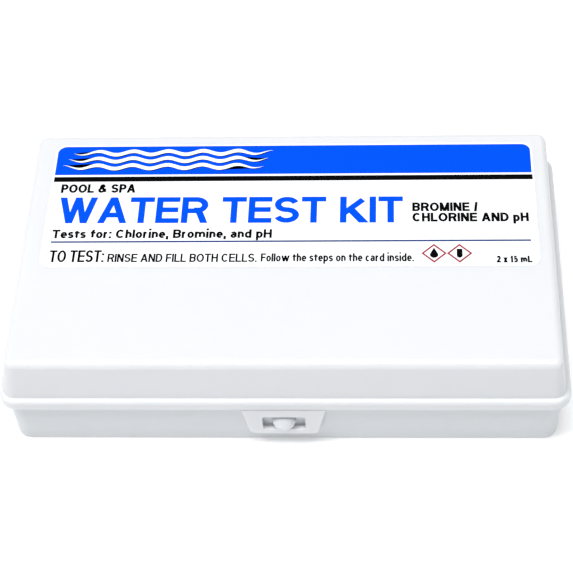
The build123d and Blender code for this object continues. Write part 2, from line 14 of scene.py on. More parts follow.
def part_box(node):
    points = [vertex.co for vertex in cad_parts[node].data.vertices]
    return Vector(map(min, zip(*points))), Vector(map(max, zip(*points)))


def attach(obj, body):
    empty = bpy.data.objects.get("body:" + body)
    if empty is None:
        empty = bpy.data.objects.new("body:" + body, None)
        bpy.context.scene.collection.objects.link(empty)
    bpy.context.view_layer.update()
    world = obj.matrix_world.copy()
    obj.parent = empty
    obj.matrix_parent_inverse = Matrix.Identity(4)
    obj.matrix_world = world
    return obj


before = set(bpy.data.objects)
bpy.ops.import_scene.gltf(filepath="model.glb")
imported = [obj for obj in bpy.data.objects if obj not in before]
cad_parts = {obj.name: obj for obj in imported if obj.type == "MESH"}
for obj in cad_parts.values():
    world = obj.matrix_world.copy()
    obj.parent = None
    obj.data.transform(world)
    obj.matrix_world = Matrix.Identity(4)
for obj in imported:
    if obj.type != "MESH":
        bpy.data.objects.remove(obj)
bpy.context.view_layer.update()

MM = 0.001
REAGENTS = ("chlorine", "ph")

# Printing, in millimetres: how far its face stands above the paper, and how deep it goes in.
INK_HIGH = 0.035
INK_DEEP = 0.02
# Each stroke of a letter stands this much above the one before, so that no two faces share a plane.
STROKE_STEP = 0.002
# Under a bottle, ink stops this much short of going all the way round its wrap label.
WRAP_BARE = 1.6
# Ink on a wrap label is cut into strips this wide, which follow its curve.
WRAP_STRIP = 1.5
# The front label's lines of type fall this much to the right, per millimetre.
LINE_FALL = 0.0027
# A colour standard's length along its column.
CHIP_LENGTH = 9.4

# Label colours, as linear values.
BLUE = (0.0, 0.07, 0.92)
INK_BLACK = (0.0012, 0.0012, 0.0016)
RULE_BLUE = (0.015, 0.045, 0.17)
MARK_RED = (0.30, 0.03, 0.045)
PAPER_WHITE = (0.95, 0.955, 0.965)

# ---------------------------------------------------------------- materials


def new_material(name):
    """A material, its Principled shader, and functions that add a node and link one to the shader."""
    mat = bpy.data.materials.new(name)
    mat.use_nodes = True
    tree = mat.node_tree
    shader = tree.nodes["Principled BSDF"]

    def add(kind, inputs=(), **settings):
        node = tree.nodes.new(kind)
        for key, value in settings.items():
            setattr(node, key, value)
        for key, value in dict(inputs).items():
            if isinstance(value, bpy.types.NodeSocket):
                tree.links.new(value, node.inputs[key])
            else:
                node.inputs[key].default_value = value
        return node

    def link(out, key):
        tree.links.new(out, shader.inputs[key])

    return mat, shader, add, link


def rgba(color):
    return (*color, 1.0)


def set_shader(shader, **values):
    for key, value in values.items():
        shader.inputs[key.replace("_", " ")].default_value = value


def object_coords(add):
    return add("ShaderNodeTexCoord").outputs["Object"]


def mixed(add, factor, a, b):
    """A colour between a and b by factor."""
    mix = add("ShaderNodeMix", data_type="RGBA")
    tree = mix.id_data
    tree.links.new(factor, mix.inputs["Factor"])
    for key, value in (("A", a), ("B", b)):
        socket = [s for s in mix.inputs if s.name == key and s.type == "RGBA"][0]
        if isinstance(value, bpy.types.NodeSocket):
            tree.links.new(value, socket)
        else:
            socket.default_value = rgba(value)
    return [s for s in mix.outputs if s.type == "RGBA"][0]


def ramp(add, factor, stops, interpolation="LINEAR"):
    """A colour ramp through (position, colour) stops."""
    node = add("ShaderNodeValToRGB", {"Fac": factor})
    node.color_ramp.interpolation = interpolation
    elements = node.color_ramp.elements
    while len(elements) < len(stops):
        elements.new(1.0)
    for element, (position, color) in zip(elements, stops):
        element.position = position
        element.color = rgba(color)
    return node.outputs["Color"]


def moulded_plastic(name, low, high, roughness=0.3, coat=0.15, wave=0.02, grain=0.006, subsurface=0.0):
    """Injection-moulded plastic: cloudy colour, faint sink waves, a fine satin grain and a few scuffs."""
    mat, shader, add, link = new_material(name)
    at = object_coords(add)
    cloud = add("ShaderNodeTexNoise", {"Vector": at, "Scale": 26.0, "Detail": 3.0, "Roughness": 0.55})
    link(mixed(add, cloud.outputs["Fac"], low, high), "Base Color")
    scuff = add("ShaderNodeTexNoise", {"Vector": at, "Scale": 700.0, "Detail": 4.0, "Roughness": 0.7})
    rough = add("ShaderNodeMapRange", {"Value": scuff.outputs["Fac"], "From Min": 0.3, "From Max": 0.8,
                                       "To Min": roughness, "To Max": roughness + 0.06})
    link(rough.outputs["Result"], "Roughness")
    sink = add("ShaderNodeTexNoise", {"Vector": at, "Scale": 34.0, "Detail": 1.0})
    fine = add("ShaderNodeTexNoise", {"Vector": at, "Scale": 2600.0, "Detail": 2.0})
    broad = add("ShaderNodeBump", {"Height": sink.outputs["Fac"], "Strength": wave, "Distance": 1.0 * MM})
    both = add("ShaderNodeBump", {"Height": fine.outputs["Fac"], "Strength": grain, "Distance": 0.2 * MM,
                                  "Normal": broad.outputs["Normal"]})
    link(both.outputs["Normal"], "Normal")
    set_shader(shader, IOR=1.55, Coat_Weight=coat, Coat_Roughness=0.12, Specular_IOR_Level=0.45)
    if subsurface:
        set_shader(shader, Subsurface_Weight=subsurface, Subsurface_Scale=3.0 * MM)
        shader.inputs["Subsurface Radius"].default_value = (1.0, 0.9, 0.8)
    return mat


def printed_paper(name, color, roughness=0.28, coat=0.35):
    """A coated label: faint mottle in the stock, and a slightly uneven varnish."""
    mat, shader, add, link = new_material(name)
    at = object_coords(add)
    mottle = add("ShaderNodeTexNoise", {"Vector": at, "Scale": 900.0, "Detail": 5.0, "Roughness": 0.7})
    darker = tuple(c * 0.975 for c in color)
    link(mixed(add, mottle.outputs["Fac"], darker, color), "Base Color")
    varnish = add("ShaderNodeTexNoise", {"Vector": at, "Scale": 60.0, "Detail": 2.0})
    rough = add("ShaderNodeMapRange", {"Value": varnish.outputs["Fac"], "To Min": roughness - 0.05,
                                       "To Max": roughness + 0.08})
    link(rough.outputs["Result"], "Roughness")
    bump = add("ShaderNodeBump", {"Height": mottle.outputs["Fac"], "Strength": 0.02, "Distance": 0.1 * MM})
    link(bump.outputs["Normal"], "Normal")
    set_shader(shader, IOR=1.5, Coat_Weight=coat, Coat_Roughness=0.1)
    return mat


def printing_ink(name, color, roughness=0.5):
    """Ink with a fine uneven density, as from a flexographic plate."""
    mat, shader, add, link = new_material(name)
    at = object_coords(add)
    density = add("ShaderNodeTexNoise", {"Vector": at, "Scale": 1500.0, "Detail": 4.0, "Roughness": 0.65})
    lighter = tuple(min(1.0, c * 1.06 + 0.001) for c in color)
    link(mixed(add, density.outputs["Fac"], color, lighter), "Base Color")
    rough = add("ShaderNodeMapRange", {"Value": density.outputs["Fac"], "To Min": roughness - 0.04,
                                       "To Max": roughness + 0.06})
    link(rough.outputs["Result"], "Roughness")
    set_shader(shader, IOR=1.4, Specular_IOR_Level=0.035)
    return mat


def clear_plastic(name, tint, roughness=0.04, ior=1.49, haze=0.02):
    """Clear moulded acrylic with flow lines and a little haze."""
    mat, shader, add, link = new_material(name)
    at = object_coords(add)
    flow = add("ShaderNodeTexNoise", {"Vector": at, "Scale": 90.0, "Detail": 2.0, "Distortion": 0.6})
    bump = add("ShaderNodeBump", {"Height": flow.outputs["Fac"], "Strength": haze, "Distance": 0.3 * MM})
    link(bump.outputs["Normal"], "Normal")
    dusty = add("ShaderNodeMapRange", {"Value": flow.outputs["Fac"], "To Min": roughness,
                                       "To Max": roughness + 0.06})
    link(dusty.outputs["Result"], "Roughness")
    shader.inputs["Base Color"].default_value = rgba(tint)
    set_shader(shader, IOR=ior, Transmission_Weight=1.0, Alpha=0.4)
    return mat


def drawn_steel(name):
    """Bright drawn wire with fine lines along the pin, which runs along X."""
    mat, shader, add, link = new_material(name)
    at = object_coords(add)
    stretched = add("ShaderNodeMapping", {"Vector": at, "Scale": (60.0, 4000.0, 4000.0)})
    lines = add("ShaderNodeTexNoise", {"Vector": stretched.outputs["Vector"], "Scale": 1.0, "Detail": 3.0})
    link(mixed(add, lines.outputs["Fac"], (0.42, 0.43, 0.45), (0.62, 0.63, 0.65)), "Base Color")
    rough = add("ShaderNodeMapRange", {"Value": lines.outputs["Fac"], "To Min": 0.2, "To Max": 0.42})
    link(rough.outputs["Result"], "Roughness")
    set_shader(shader, Metallic=1.0)
    return mat


def dress(node, mat):
    """Gives a CAD node its finished material."""
    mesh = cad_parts[node].data
    mesh.materials.clear()
    mesh.materials.append(mat)
    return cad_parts[node]


LID_PLASTIC = moulded_plastic("lid_styrene", (0.70, 0.708, 0.73), (0.72, 0.725, 0.742), roughness=0.3,
                              coat=0.1, subsurface=0.35)
# The base is the lid's plastic made a few percent darker: painted shade for the base wall, which stands under
# the lid's skirt.
BASE_PLASTIC_PAINTED_SHADE = moulded_plastic("base_styrene_painted_shade", (0.65, 0.668, 0.69), (0.67, 0.683, 0.70), roughness=0.32,
                               coat=0.1, subsurface=0.35)
dress("lid_shell", LID_PLASTIC)
dress("latch_tab", LID_PLASTIC)
dress("base_shell", BASE_PLASTIC_PAINTED_SHADE)
dress("hinge_pins", drawn_steel("pin_wire"))
dress("front_label", printed_paper("front_stock", PAPER_WHITE))
dress("underside_label", printed_paper("underside_stock", (0.88, 0.885, 0.89)))
dress("instruction_card", printed_paper("card_stock", (0.86, 0.89, 0.93)))


def tinted_standards(name, stops):
    """Colour standards in a column along Y, each one flat tint from the ramp, with a printed grain."""
    low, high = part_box(f"{name}_color_chips")
    mat, shader, add, link = new_material(f"{name}_standards")
    at = object_coords(add)
    split = add("ShaderNodeSeparateXYZ", {"Vector": at})
    along = add("ShaderNodeMapRange", {"Value": split.outputs["Y"], "From Min": low.y, "From Max": high.y})
    steps = [(i / len(stops), color) for i, color in enumerate(stops)]
    tint = ramp(add, along.outputs["Result"], steps, "CONSTANT")
    grain = add("ShaderNodeTexNoise", {"Vector": at, "Scale": 1800.0, "Detail": 3.0})
    speck = add("ShaderNodeMapRange", {"Value": grain.outputs["Fac"], "To Min": 0.0, "To Max": 0.12})
    link(mixed(add, speck.outputs["Result"], tint, (0.9, 0.9, 0.9)), "Base Color")
    set_shader(shader, Roughness=0.25, IOR=1.5, Coat_Weight=0.4, Coat_Roughness=0.06)
    return mat


def liquid(name, tint, ior=1.34):
    """Clear tinted reagent, faintly cloudy."""
    mat, shader, add, link = new_material(name)
    at = object_coords(add)
    cloud = add("ShaderNodeTexNoise", {"Vector": at, "Scale": 70.0, "Detail": 2.0})
    paler = tuple(min(1.0, c * 1.15 + 0.02) for c in tint)
    link(mixed(add, cloud.outputs["Fac"], tint, paler), "Base Color")
    set_shader(shader, Roughness=0.02, IOR=ior, Transmission_Weight=0.85)
    return mat


def milky_plastic(name, low, high):
    """Natural polyethylene: translucent, waxy, a little uneven in its wall."""
    mat, shader, add, link = new_material(name)
    at = object_coords(add)
    wall = add("ShaderNodeTexNoise", {"Vector": at, "Scale": 110.0, "Detail": 3.0})
    link(mixed(add, wall.outputs["Fac"], low, high), "Base Color")
    rough = add("ShaderNodeMapRange", {"Value": wall.outputs["Fac"], "To Min": 0.3, "To Max": 0.45})
    link(rough.outputs["Result"], "Roughness")
    bump = add("ShaderNodeBump", {"Height": wall.outputs["Fac"], "Strength": 0.08, "Distance": 0.4 * MM})
    link(bump.outputs["Normal"], "Normal")
    set_shader(shader, IOR=1.51, Transmission_Weight=0.2, Subsurface_Weight=0.5, Subsurface_Scale=3.0 * MM)
    shader.inputs["Subsurface Radius"].default_value = (1.0, 0.95, 0.9)
    return mat


YELLOWS = [(0.93, 0.90, 0.62), (0.93, 0.86, 0.42), (0.92, 0.80, 0.24), (0.90, 0.68, 0.09), (0.86, 0.50, 0.02)]
REDS = [(0.90, 0.45, 0.08), (0.88, 0.28, 0.09), (0.84, 0.15, 0.10), (0.76, 0.07, 0.13), (0.62, 0.03, 0.17)]
CAP_COLORS = {
    "chlorine": ((0.86, 0.55, 0.012), (0.90, 0.61, 0.02)),
    "ph": ((0.60, 0.012, 0.010), (0.68, 0.02, 0.014)),
}
REAGENT_TINTS = {"chlorine": (0.92, 0.86, 0.50), "ph": (0.85, 0.10, 0.06)}
STANDARDS = {"chlorine": YELLOWS, "ph": REDS}

dress("comparator_block", clear_plastic("clear_acrylic", (0.95, 0.98, 1.0)))
dress("color_card", printed_paper("scale_card", (0.90, 0.90, 0.90)))
BOTTLE_WHITE = milky_plastic("natural_polyethylene", (0.90, 0.90, 0.87), (0.95, 0.95, 0.93))
WRAP_STOCK = printed_paper("wrap_stock", (0.90, 0.90, 0.90))
for name in REAGENTS:
    cap_plastic = moulded_plastic(f"{name}_cap_plastic", *CAP_COLORS[name], wave=0.05, subsurface=0.05)
    dress(f"{name}_color_chips", tinted_standards(name, STANDARDS[name]))
    dress(f"{name}_cell_cap", cap_plastic)
    dress(f"{name}_bottle_cap", cap_plastic)
    dress(f"{name}_bottle", BOTTLE_WHITE)
    dress(f"{name}_dropper_tip", BOTTLE_WHITE)
    dress(f"{name}_bottle_label", WRAP_STOCK)
    dress(f"{name}_reagent", liquid(f"{name}_reagent_liquid", REAGENT_TINTS[name]))

# ---------------------------------------------------------------- printing


class Sheet:
    """A flat printed face. Ink is laid out in millimetres from its lower left corner, as it is read."""

    cut_every = None

    def __init__(self, node, body, right=(1, 0, 0), up=(0, 1, 0)):
        self.body = body
        self.right, self.up = Vector(right), Vector(up)
        self.out = self.right.cross(self.up)
        low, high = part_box(node)
        size = high - low
        wide, tall, deep = (abs(size.dot(axis)) for axis in (self.right, self.up, self.out))
        self.corner = (low + high) / 2 + (self.out * deep - self.right * wide - self.up * tall) / 2
        self.width = wide / MM
        self.height = tall / MM

    def place(self, u, v, out):
        return self.corner + (self.right * u + self.up * v + self.out * out) * MM


class Wrap:
    """A label wrapped round a bottle that lies along Y. u runs round it and v along it, towards the cap."""

    cut_every = WRAP_STRIP

    def __init__(self, node, body):
        self.body = body
        low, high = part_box(node)
        self.middle = (low + high) / 2
        self.radius = (high.x - low.x) / 2 / MM
        self.low_y = low.y
        self.width = 2 * math.pi * self.radius - WRAP_BARE
        self.height = (high.y - low.y) / MM

    def place(self, u, v, out):
        turn = (u - self.width / 2) / self.radius
        reach = (self.radius + out) * MM
        return Vector((self.middle.x + reach * math.sin(turn), self.low_y + v * MM,
                       self.middle.z + reach * math.cos(turn)))


def ink(name, sheet, mat, outlines=(), rings=(), words=(), lift=0.0):
    """One printed piece, with a hair of thickness.

    outlines are closed loops of (u, v). rings are pairs of loops, outer and inner, matched point to point.
    words are lines of type, each (text, left, baseline, cap height, width, stroke weight).
    """
    bm = bmesh.new()
    high = INK_HIGH + lift
    for outline in outlines:
        add_slab(bm, outline, high)
    for outer, inner in rings:
        add_ring(bm, outer, inner, high)
    for line in words:
        for step, (outer, inner) in typeset(*line):
            up = high + step * STROKE_STEP
            if inner:
                add_ring(bm, outer, inner, up)
            else:
                add_slab(bm, outer, up)
    bmesh.ops.triangulate(bm, faces=[f for f in bm.faces if len(f.verts) > 4])
    if sheet.cut_every:
        for i in range(1, int(sheet.width / sheet.cut_every)):
            bmesh.ops.bisect_plane(bm, geom=bm.verts[:] + bm.edges[:] + bm.faces[:], dist=1e-5,
                                   plane_co=(i * sheet.cut_every, 0, 0), plane_no=(1, 0, 0))
    for v in bm.verts:
        v.co = sheet.place(*v.co)
    bmesh.ops.recalc_face_normals(bm, faces=bm.faces)
    mesh = bpy.data.meshes.new(name)
    bm.to_mesh(mesh)
    bm.free()
    mesh.materials.append(mat)
    piece = bpy.data.objects.new(name, mesh)
    bpy.context.scene.collection.objects.link(piece)
    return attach(piece, sheet.body)


def add_slab(bm, outline, high):
    """A closed loop of (u, v), filled and given thickness."""
    top = [bm.verts.new((u, v, high)) for u, v in outline]
    low = [bm.verts.new((u, v, -INK_DEEP)) for u, v in outline]
    bm.faces.new(top)
    bm.faces.new(low[::-1])
    for a, b, c, d in zip(top, top[1:] + top[:1], low[1:] + low[:1], low):
        bm.faces.new((b, a, d, c))


def add_ring(bm, outer, inner, high):
    """The band between two matched loops, given thickness."""
    top_out, top_in, low_out, low_in = (
        [bm.verts.new((u, v, up)) for u, v in loop] for up in (high, -INK_DEEP) for loop in (outer, inner))
    for i in range(len(outer)):
        j = (i + 1) % len(outer)
        bm.faces.new((top_out[i], top_out[j], top_in[j], top_in[i]))
        bm.faces.new((low_out[j], low_out[i], low_in[i], low_in[j]))
        bm.faces.new((top_out[j], top_out[i], low_out[i], low_out[j]))
        bm.faces.new((top_in[i], top_in[j], low_in[j], low_in[i]))


# ---------------------------------------------------------------- type
#
# A plain grotesque, drawn as strokes. A letter's strokes are centre lines in a unit square, whose corners are
# the middles of its outermost strokes. Each stroke is ("path", points), ("slant", x0, y0, x1, y1) with level
# ends, ("bar", x0, y0, x1, y1) along an axis with square ends, ("oval", cx, cy, rx, ry) or ("dot", x, y).

# The height of a small letter, half of it, and how low a p reaches.
XH = 0.68
HALF = XH / 2
DESCENT = -0.33


def swing(cx, cy, rx, ry, start, end):
    """Points along an oval arc, angles in degrees."""
    steps = max(4, round(abs(end - start) / 15))
    turns = [math.radians(start + (end - start) * i / steps) for i in range(steps + 1)]
    return [(cx + rx * math.cos(t), cy + ry * math.sin(t)) for t in turns]


def upright(x, low=0.0, high=1.0):
    return ("bar", x, low, x, high)


def level(y, left=0.0, right=1.0):
    return ("bar", left, y, right, y)


def bowl(low, high, waist=0.55):
    """The round side of a D, P or B, from its stem and back."""
    middle = (low + high) / 2
    turn = swing(waist, middle, 1 - waist, (high - low) / 2, 90, -90)
    return ("path", [(0, high)] + turn + [(0, low)])


def snake(high):
    """The S, as tall as high."""
    quarter = high / 4
    top = swing(0.5, high - quarter, 0.48, quarter, 18, 262)
    return ("path", top + swing(0.5, quarter, 0.5, quarter, 82, -162))


def arch(left, right, high=XH):
    """The shoulder of an n, springing from the stem at left."""
    middle, half = (left + right) / 2, (right - left) / 2
    return ("path", swing(middle, high * 0.58, half, high * 0.42, 180, 0) + [(right, 0)])


def zigzag(high):
    """The W, as tall as high."""
    corners = [(0, high), (0.27, 0), (0.5, high), (0.73, 0), (1, high)]
    return [("slant", *start, *end) for start, end in zip(corners, corners[1:])]


AMPERSAND = [(1.0, 0.0), (0.36, 0.66), (0.28, 0.82), (0.36, 0.96), (0.5, 1.0), (0.64, 0.95), (0.69, 0.82),
             (0.58, 0.68), (0.18, 0.44), (0.05, 0.28), (0.08, 0.12), (0.22, 0.02), (0.42, 0.0), (0.62, 0.07),
             (0.8, 0.24), (0.9, 0.48)]
# Each letter's width, as a share of the cap height, and its strokes.
LETTERS = {
    " ": (0.28, []),
    "A": (0.86, [("slant", 0, 0, 0.5, 1), ("slant", 1, 0, 0.5, 1), level(0.27, 0.2, 0.8)]),
    "B": (0.74, [upright(0), bowl(0.52, 1, 0.62), bowl(0, 0.52)]),
    "C": (0.82, [("path", swing(0.5, 0.5, 0.5, 0.5, 42, 318))]),
    "D": (0.78, [upright(0), bowl(0, 1, 0.42)]),
    "E": (0.69, [upright(0), level(0), level(0.51, 0, 0.93), level(1)]),
    "F": (0.64, [upright(0), level(0.5, 0, 0.9), level(1)]),
    "H": (0.76, [upright(0), upright(1), level(0.52)]),
    "I": (0.0, [upright(0)]),
    "K": (0.80, [upright(0), ("path", [(0, 0.3), (0.95, 0.97)]), ("slant", 1, 0, 0.33, 0.42)]),
    "L": (0.64, [upright(0), level(0)]),
    "M": (0.92, [upright(0), upright(1), ("slant", 0, 1, 0.5, 0), ("slant", 1, 1, 0.5, 0)]),
    "N": (0.77, [upright(0), upright(1), ("slant", 0.02, 1, 0.98, 0)]),
    "O": (0.88, [("oval", 0.5, 0.5, 0.5, 0.5)]),
    "P": (0.71, [upright(0), bowl(0.45, 1)]),
    "R": (0.78, [upright(0), bowl(0.46, 1), ("slant", 1, 0, 0.62, 0.5)]),
    "S": (0.74, [snake(1)]),
    "T": (0.72, [upright(0.5), level(1)]),
    "W": (1.13, zigzag(1)),
    "&": (0.94, [("path", AMPERSAND)]),
    "/": (0.36, [("slant", 0, -0.05, 1, 1.05)]),
    ":": (0.0, [("dot", 0, 0), ("dot", 0, XH)]),
    ".": (0.0, [("dot", 0, 0)]),
    ",": (0.0, [("dot", 0, 0), ("slant", -0.05, -0.2, 0.05, 0.05)]),
    "a": (0.58, [("path", swing(0.5, 0.48, 0.46, 0.2, 160, 0) + [(0.96, 0)]),
                 ("oval", 0.46, 0.19, 0.46, 0.19)]),
    "c": (0.56, [("path", swing(0.5, HALF, 0.5, HALF, 45, 315))]),
    "d": (0.62, [upright(1), ("oval", 0.5, HALF, 0.5, HALF)]),
    "e": (0.60, [("path", swing(0.5, HALF, 0.5, HALF, 0, 318)), level(HALF)]),
    "f": (0.44, [("path", [(1.1, 1)] + swing(0.85, 0.8, 0.45, 0.2, 95, 180) + [(0.4, 0)]), level(XH, 0, 1)]),
    "h": (0.58, [upright(0), arch(0, 1)]),
    "i": (0.0, [upright(0, 0, XH), ("dot", 0, 1.13)]),
    "l": (0.0, [upright(0)]),
    "m": (0.98, [upright(0, 0, XH), arch(0, 0.5), arch(0.5, 1)]),
    "n": (0.58, [upright(0, 0, XH), arch(0, 1)]),
    "o": (0.61, [("oval", 0.5, HALF, 0.5, HALF)]),
    "p": (0.62, [upright(0, DESCENT, XH), ("oval", 0.5, HALF, 0.5, HALF)]),
    "r": (0.44, [upright(0, 0, XH), ("path", swing(1.0, XH * 0.55, 1.0, XH * 0.45, 180, 92))]),
    "s": (0.54, [snake(XH)]),
    "t": (0.45, [("path", [(0.4, 0.95)] + swing(0.85, 0.2, 0.45, 0.2, 180, 268)), level(XH, 0, 1)]),
    "w": (1.15, zigzag(XH)),
    "x": (0.58, [("slant", 0, 0, 1, XH), ("slant", 1, 0, 0, XH)]),
    "0": (0.62, [("oval", 0.5, 0.5, 0.5, 0.5)]),
    "1": (0.40, [upright(0.75), ("path", [(0.75, 0.96), (0.1, 0.7)])]),
    "2": (0.60, [("path", swing(0.5, 0.72, 0.48, 0.28, 165, -35) + [(0.05, 0.03)]), level(0)]),
    "3": (0.60, [("path", swing(0.45, 0.77, 0.45, 0.23, 150, -90)),
                 ("path", swing(0.45, 0.27, 0.52, 0.27, 90, -150))]),
    "4": (0.64, [upright(0.76), ("path", [(0.72, 0.97), (0.04, 0.28)]), level(0.25)]),
    "5": (0.60, [("path", [(0.92, 1), (0.16, 1), (0.07, 0.5)] + swing(0.46, 0.31, 0.52, 0.31, 130, -150))]),
    "6": (0.62, [("oval", 0.5, 0.31, 0.5, 0.31),
                 ("path", swing(0.52, 0.5, 0.52, 0.5, 55, 180) + [(0, 0.3)])]),
    "7": (0.58, [level(1), ("slant", 0.3, 0, 0.98, 1)]),
    "8": (0.62, [("oval", 0.5, 0.77, 0.42, 0.23), ("oval", 0.5, 0.27, 0.5, 0.27)]),
}
# The space between letters, as a share of the cap height, before a line is fitted to its width.
LETTER_GAP = 0.07


def thickened(points, weight):
    """A band of even thickness along a line of points, mitred at its bends."""
    sides = ([], [])
    for i, (x, y) in enumerate(points):
        before = points[max(i - 1, 0)]
        after = points[min(i + 1, len(points) - 1)]
        spans = [(a, b) for a, b in ((before, (x, y)), ((x, y), after)) if a != b]
        runs = [Vector((b[0] - a[0], b[1] - a[1])).normalized() for a, b in spans]
        along = sum(runs, Vector((0, 0))).normalized()
        reach = weight / 2 / max(0.5, along.dot(runs[0]))
        for side, sign in zip(sides, (1, -1)):
            side.append((x - sign * along.y * reach, y + sign * along.x * reach))
    return sides[0] + sides[1][::-1]


def stroke_shape(stroke, weight, place):
    """The outer loop of a stroke, and its inner loop if it has one. place maps unit square to paper."""
    kind, *shape = stroke
    half = weight / 2
    if kind == "path":
        return thickened([place(*p) for p in shape[0]], weight), None
    if kind == "oval":
        cx, cy, rx, ry = shape
        line = [place(*p) for p in swing(cx, cy, rx, ry, 0, 345)]
        mid_x, mid_y = place(cx, cy)
        wide, tall = place(cx + rx, cy)[0] - mid_x, place(cx, cy + ry)[1] - mid_y
        loops = []
        for sign in (1, -1):
            grow_x, grow_y = 1 + sign * half / wide, 1 + sign * half / tall
            loops.append([(mid_x + (x - mid_x) * grow_x, mid_y + (y - mid_y) * grow_y) for x, y in line])
        return loops
    if kind == "dot":
        x, y = place(*shape)
        return rectangle(x - half, y - half, x + half, y + half), None
    (x0, y0), (x1, y1) = place(*shape[:2]), place(*shape[2:])
    if kind == "bar":
        return rectangle(min(x0, x1) - half, min(y0, y1) - half,
                         max(x0, x1) + half, max(y0, y1) + half), None
    if y1 < y0:
        x0, y0, x1, y1 = x1, y1, x0, y0
    lean = (x1 - x0) / (y1 - y0)
    across = half * math.hypot(1, lean)
    low, high = y0 - half, y1 + half
    return [(x0 - across, low), (x0 + across, low), (x1 + across, high), (x1 - across, high)], None


def body_width(letter, cap, stem):
    """A letter's width between the middles of its outermost strokes, or a space's whole width."""
    room = LETTERS[letter][0] * cap
    return room - stem if room and letter != " " else room


def typeset(text, left, baseline, cap, width, weight):
    """The strokes of a line of type fitted to its width, each with its place in its letter's order."""
    stem = weight * cap
    spare = width - stem * sum(c != " " for c in text)
    natural = sum(body_width(c, cap, stem) for c in text)
    natural += LETTER_GAP * cap * (len(text) - 1)
    across = spare / natural
    u = left
    for c in text:
        body = body_width(c, cap, stem) * across

        def place(x, y):
            return u + stem / 2 + x * body, baseline + stem / 2 + y * (cap - stem)

        for step, stroke in enumerate(LETTERS[c][1]):
            yield step, stroke_shape(stroke, stem, place)
        u += body + (0 if c == " " else stem) + LETTER_GAP * cap * across


def rectangle(u0, v0, u1, v1):
    return [(u0, v0), (u1, v0), (u1, v1), (u0, v1)]


def arc(centre, radius, start, end, steps=8):
    """Points along an arc, angles in degrees."""
    turns = [math.radians(start + (end - start) * i / steps) for i in range(steps + 1)]
    return [(centre[0] + radius * math.cos(t), centre[1] + radius * math.sin(t)) for t in turns]


def diamond(centre, half_width, half_height):
    u, v = centre
    return [(u + half_width, v), (u, v + half_height), (u - half_width, v), (u, v - half_height)]


def drop(centre, radius):
    """A falling drop: a round belly under a pointed top."""
    u, v = centre
    return arc(centre, radius, -210, 30, 20) + [(u, v + 2.3 * radius)]


def vial(centre, width, height):
    """A round-bottomed tube, open end up."""
    u, v = centre
    r = width / 2
    return [(u + r, v + height / 2), (u - r, v + height / 2)] + arc((u, v - height / 2 + r), r, 180, 360, 12)


def wave(u0, u1, v, rise, length, thickness, shift=(0, 0), steps=96):
    """A ribbon along a sine wave, tapering to a point at both ends, then moved by shift."""
    top, low = [], []
    for i in range(steps + 1):
        share = i / steps
        u = u0 + (u1 - u0) * share
        crest = v + rise * math.sin(2 * math.pi * u / length)
        half = thickness / 2 * min(1.0, 6 * share, 6 * (1 - share)) + 0.02
        top.append((u + shift[0], crest + half + shift[1]))
        low.append((u + shift[0], crest - half + shift[1]))
    return low + top[::-1]


def greeked(u0, u1, v, cap, seed, word=(1.2, 5.5), gap=0.9):
    """A line of text too small to read, as bars the length of words."""
    draw = random.Random(seed)
    bars = []
    u = u0
    while u < u1 - word[0]:
        end = min(u + draw.uniform(*word), u1)
        bars.append(rectangle(u, v, end, v + cap * draw.uniform(0.8, 1.0)))
        u = end + gap
    return bars


BLACK_INK = printing_ink("ink_black", INK_BLACK)
BLUE_INK = printing_ink("ink_blue", BLUE)
RULE_INK = printing_ink("ink_rule", RULE_BLUE)
RED_INK = printing_ink("ink_red", MARK_RED)
WHITE_INK = printing_ink("ink_white", (0.93, 0.93, 0.93))
GREY_INK = printing_ink("ink_grey", (0.10, 0.105, 0.11))
YELLOW_INK = printing_ink("ink_yellow", (0.90, 0.62, 0.03))
CORAL_INK = printing_ink("ink_coral", (0.72, 0.05, 0.04))
SPOT_INKS = {"chlorine": YELLOW_INK, "ph": CORAL_INK}


